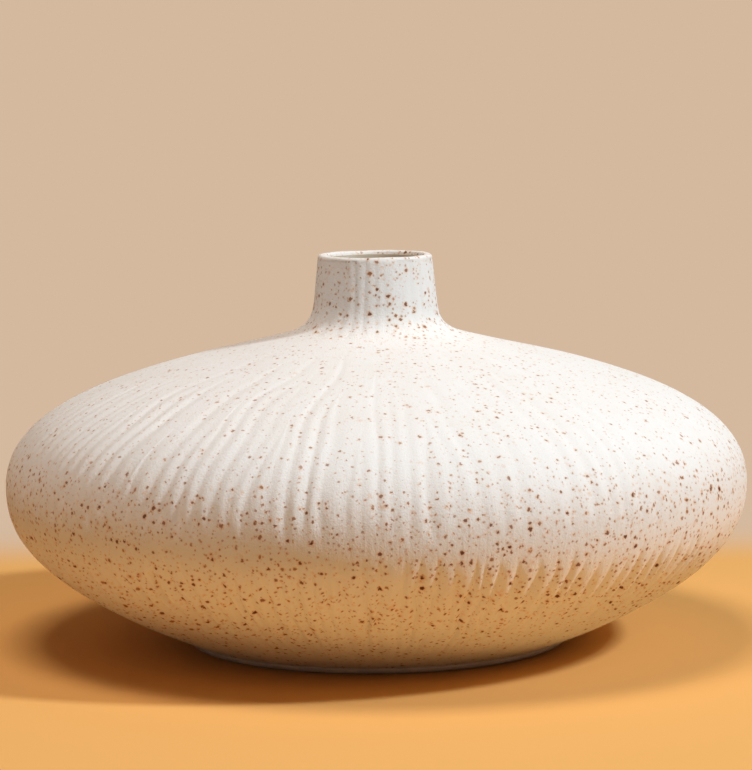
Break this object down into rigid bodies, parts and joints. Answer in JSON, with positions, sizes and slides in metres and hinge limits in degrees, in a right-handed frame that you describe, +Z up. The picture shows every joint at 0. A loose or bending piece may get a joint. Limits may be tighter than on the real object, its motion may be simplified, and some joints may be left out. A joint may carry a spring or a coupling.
{
  "type": "disc vase",
  "caption": "Wide flattened stoneware vase with a short flared neck, hand-cut vertical flutes, iron speckle and a low foot ring; holds a few stems in water.",
  "frame": {"origin": "centre of the foot ring's underside, on the surface that the vase stands on", "axes": "+Z up along the axis of the neck; -Y towards the side that the picture shows"},
  "size_m": [0.24, 0.24, 0.126],
  "materials": {
    "speckled_clay": "matt off-white with brown and rust iron speckle",
    "foot_clay": "bare wiped stoneware, slightly grey",
    "joint_slip": "fine smooth slip of the same clay",
    "liner_glaze": "thin satin liner glaze"
  },
  "bodies": {
    "root": {"foot_ring": "foot_clay", "foot_slip_seam": "joint_slip", "lower_bowl": "speckled_clay", "belly_slip_seam": "joint_slip", "upper_dome": "speckled_clay", "neck_slip_seam": "joint_slip", "neck_collar": "speckled_clay", "liner_glaze": "liner_glaze"}
  },
  "joints": []
}
